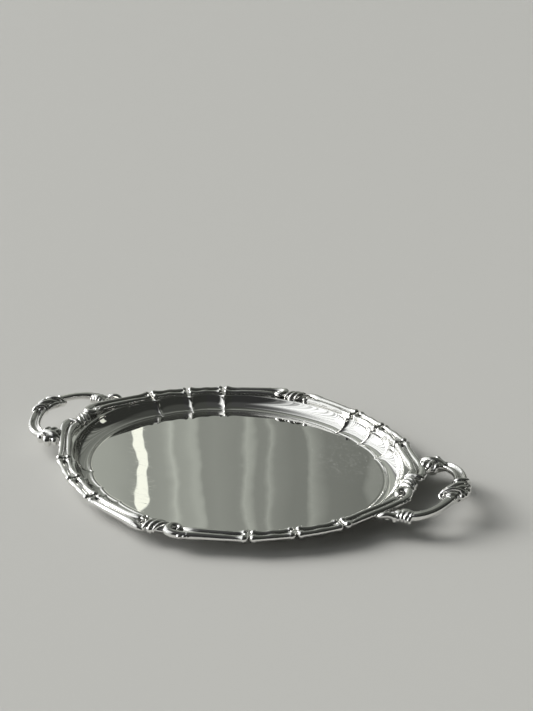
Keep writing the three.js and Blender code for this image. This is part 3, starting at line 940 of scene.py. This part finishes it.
def wide_foot():
    """A leaf folded over the border's edge under the wide arm, with lobes that curl up and back."""
    bar = [(0, 0, 0), (6, 0, 0), (13, 0, 0), (19.0, 0, 0)]
    bar = [sweep(bar, [5.4, 6.4, 6.6, 5.6], wide=1.15, around=26)]
    bar += cuff([(17.0, 1.0)], 5.6, 1.5, -3.0)
    leaf = [
        ball((233, 58.5, 21.5), (13.0, 8.6, 5.8), 0.35),
        ball((236.8, 49.6, 21.4), (6.6, 5.2, 5.6), 0.2),
        ball((222.4, 54.6, 21), (5.0, 4.4, 4.2), -0.5),
    ]
    return bent(bar) + leaf + [sweep(path, size, around=around) for path, size, around in LOBES]


# Turned half round, the handle's narrow foot is at the back on the left, and the wide one in front.
castings = {}
for part, (v, f) in (("wide_arm", wide_arm()), ("narrow_arm", narrow_arm())):
    castings[part] = (on_handle(v), f)
for part, make in (("knuckle", knuckle), ("narrow_foot", narrow_foot), ("wide_foot", wide_foot)):
    castings[part] = cast(make(), smooth=7)
for part, (v, f) in castings.items():
    # Tarnish with painted shade: the arms darken in their channels, the other castings in their
    # grooves and hollows.
    dark = np.minimum(recesses(v, f, 0.5, 30), 0.6) if "arm" in part else tarnish_and_shade_of(v, f)
    for side, turn, names in (
        ("right", 1, {"narrow_foot": "front_foot", "wide_foot": "back_foot"}),
        ("left", -1, {"narrow_foot": "back_foot", "wide_foot": "front_foot"}),
    ):
        name = f"handle_{side}_{names.get(part, part)}"
        piece(name + "_cast", v * [turn, turn, 1], f, dark, handle_silver, name)

# ------------------------------------------------------------------ camera, floor and light
CAMERA_AT = (0.51540, -0.96474, 0.60142)
FOCAL_LENGTH = 1000 / 711  # in image heights
SENSOR = 36
forward = Vector((-0.40350201, 0.83087179, -0.38319472))
right = Vector((0.90283301, 0.42955908, -0.01927585))
down = Vector((0.14858901, -0.35373869, -0.92346643))
camera = bpy.data.objects.new("camera", bpy.data.cameras.new("camera"))
bpy.context.scene.collection.objects.link(camera)
camera.matrix_world = Matrix(
    (
        (right.x, -down.x, -forward.x, CAMERA_AT[0]),
        (right.y, -down.y, -forward.y, CAMERA_AT[1]),
        (right.z, -down.z, -forward.z, CAMERA_AT[2]),
        (0, 0, 0, 1),
    )
)
camera.data.sensor_width = SENSOR
camera.data.lens = FOCAL_LENGTH * SENSOR
camera.data.clip_start = 0.02
bpy.context.scene.camera = camera

FLOOR_REACH = 14.0
FLOOR_LEVEL = -0.0002
floor_mesh = bpy.data.meshes.new("floor")
floor_mesh.from_pydata(
    [(x * FLOOR_REACH, y * FLOOR_REACH, 0) for x, y in ((-1, -1), (1, -1), (1, 1), (-1, 1))],
    [],
    [(0, 1, 2, 3)],
)
floor = bpy.data.objects.new("floor", floor_mesh)
floor.location.z = FLOOR_LEVEL
bpy.context.scene.collection.objects.link(floor)
pale = bpy.data.materials.new("floor_paint")
pale.use_nodes = True
skin = pale.node_tree.nodes["Principled BSDF"]
skin.inputs["Base Color"].default_value = (0.56, 0.56, 0.545, 1)
skin.inputs["Roughness"].default_value = 0.85
floor_mesh.materials.append(pale)

AHEAD = math.atan2(forward.y, forward.x)  # bearings are measured from here
# The folds straight ahead, which the well mirrors: bearing in degrees to the left, and brightness.
CURTAIN_FOLDS = [
    (20, 0.36), (12, 0.36), (10, 0.34), (8.8, 0.29), (7.72, 0.28), (6.9, 0.30), (6.5, 0.36),
    (6.25, 0.45), (5.9, 0.31), (5.3, 0.33), (4.8, 0.38), (4.45, 0.36), (4.2, 0.235), (3.3, 0.25),
    (2.0, 0.225), (1.65, 0.24), (1.45, 0.38), (1.05, 0.31), (0.75, 0.21), (0.25, 0.22), (0, 0.33),
    (-0.35, 0.22), (-1.5, 0.18), (-2.35, 0.18), (-2.6, 0.31), (-3.1, 0.24), (-3.8, 0.17),
    (-6.4, 0.15), (-6.8, 0.24), (-9, 0.15),
]
CURTAIN_WIDE = 20  # degrees to each side of straight ahead


def studio():
    """A soft grey surround: pale folds ahead, a broad window on the left, and a dark room behind."""
    world = bpy.data.worlds.new("studio")
    bpy.context.scene.world = world
    world.use_nodes = True
    t = world.node_tree
    t.nodes.clear()
    link = t.links.new
    out = node(t, "ShaderNodeOutputWorld")
    light = node(t, "ShaderNodeBackground")
    link(light.outputs[0], out.inputs[0])
    turn = node(t, "ShaderNodeMapping", vector_type="TEXTURE", Rotation=(0, 0, AHEAD))
    link(node(t, "ShaderNodeTexCoord").outputs["Generated"], turn.inputs["Vector"])
    split = node(t, "ShaderNodeSeparateXYZ")
    link(turn.outputs[0], split.inputs[0])

    def times(*values):
        total = values[0]
        for value in values[1:]:
            total = calc(t, "MULTIPLY", total, value)
        return total

    def ramp(value, low, high, a=0.0, b=1.0):
        return spread(t, value, low, high, a, b, "SMOOTHSTEP")

    def fade(value, low, high):
        return ramp(value, low, high, 1.0, 0.0)

    def band(value, a, b, c, d):
        """Full from b to c, with soft edges out to a and d."""
        return times(ramp(value, a, b), fade(value, c, d))

    ahead, left, high = split.outputs  # high is the sine of the elevation
    bearing = calc(t, "ARCTAN2", left, ahead)  # in radians, 0 ahead and positive to the left
    folds = noise(t, bearing, noise_dimensions="1D", Scale=20.0, Detail=3.0, Roughness=0.6)
    cloth = ramp(folds, 0.36, 0.64, 0.05, 0.27)
    pleats = node(t, "ShaderNodeValToRGB")
    edge = math.radians(CURTAIN_WIDE)
    link(spread(t, bearing, edge, -edge), pleats.inputs[0])
    stops = pleats.color_ramp.elements
    for i, (degrees, tone) in enumerate(CURTAIN_FOLDS):
        at = (CURTAIN_WIDE - degrees) / (2 * CURTAIN_WIDE)
        stop = stops[i] if i < 2 else stops.new(at)
        stop.position = at
        stop.color = (tone, tone, tone * 0.98, 1)
    curtain = node(t, "ShaderNodeMix", data_type="FLOAT")
    link(band(bearing, -0.42, -0.32, 0.32, 0.42), curtain.inputs[0])
    link(cloth, curtain.inputs[2])
    link(pleats.outputs[0], curtain.inputs[3])
    # A chink of daylight between two folds, cut off aslant at the top.
    chink = band(bearing, *(math.radians(d) for d in (7.96, 8.06, 8.62, 8.72)))
    aslant = calc(t, "MULTIPLY_ADD", bearing, -0.914, high)
    chink = times(chink, fade(aslant, 0.3765, 0.3805))
    # Away to the right, the lower part of the folds is in shadow. All of them end below the ceiling.
    lit = calc(t, "MAXIMUM", ramp(bearing, -0.5, -0.25), ramp(high, 0.15, 0.32))
    around = band(bearing, -1.25, -1.05, 2.1, 2.5)
    room = times(curtain.outputs[0], around, lit, fade(high, 0.72, 0.92))
    room = calc(t, "ADD", room, 0.03)
    room = calc(t, "MULTIPLY_ADD", ramp(high, 0.75, 0.95), 0.03, room)
    # Sheer curtain over the window, in gathers.
    gathers = noise(t, bearing, noise_dimensions="1D", Scale=15.0, Detail=1.5, Roughness=0.5)
    sheer = times(band(bearing, 0.4, 0.5, 2.05, 2.5), fade(high, 0.82, 0.97))
    sheer = times(sheer, ramp(gathers, 0.34, 0.68, 0.4, 1.3))
    # One bare pane of the window, and a slit of light low down on the right.
    pane = times(band(bearing, 1.1, 1.16, 1.5, 1.56), band(high, 0.12, 0.16, 0.58, 0.62))
    slit = times(band(bearing, -1.5, -1.48, -1.4, -1.38), fade(high, 0.3, 0.34))
    total = calc(t, "ADD", room, sheer)
    for extra, strength in ((pane, 2.6), (slit, 0.8), (chink, 0.75)):
        total = calc(t, "MULTIPLY_ADD", extra, strength, total)
    tint = node(t, "ShaderNodeMix", data_type="RGBA")
    link(ramp(total, 0.5, 0.9), tint.inputs["Factor"])
    tint.inputs["A"].default_value = (0.955, 1.0, 0.9, 1)
    tint.inputs["B"].default_value = (0.98, 1.0, 0.88, 1)
    # Past the folds the window itself is white.
    daylight = node(t, "ShaderNodeMix", data_type="RGBA")
    link(ramp(bearing, 0.3, 0.45), daylight.inputs["Factor"])
    link(tint.outputs["Result"], daylight.inputs["A"])
    daylight.inputs["B"].default_value = (0.985, 1.0, 0.99, 1)
    link(daylight.outputs["Result"], light.inputs["Color"])
    link(total, light.inputs["Strength"])


studio()


LAMP_DISTANCE = 2.6


def lamp(name, bearing, elevation, width, strength, colour):
    """Soft light from far away, placed by its bearing to the left of the camera's heading."""
    a = AHEAD + math.radians(bearing)
    e = math.radians(elevation)
    towards = Vector((math.cos(e) * math.cos(a), math.cos(e) * math.sin(a), math.sin(e)))
    light = bpy.data.lights.new(name, "SUN")
    light.angle = math.radians(width)
    light.energy = strength
    light.color = colour
    o = bpy.data.objects.new(name, light)
    o.location = towards * LAMP_DISTANCE
    o.rotation_euler = (-towards).to_track_quat("-Z", "Y").to_euler()
    bpy.context.scene.collection.objects.link(o)
    return o


# The world holds the window that the silver mirrors, so its lamp isn't mirrored as well.
lamp("window_light", 62, 38, 36, 2.0, (1.0, 0.985, 0.95)).visible_glossy = False
lamp("low_sun", 72, 30, 22, 0.85, (1.0, 0.98, 0.93))

scene = bpy.context.scene
scene.view_settings.view_transform = "Standard"
scene.view_settings.look = "None"
scene.view_settings.exposure = 0.0

bpy.context.view_layer.update()
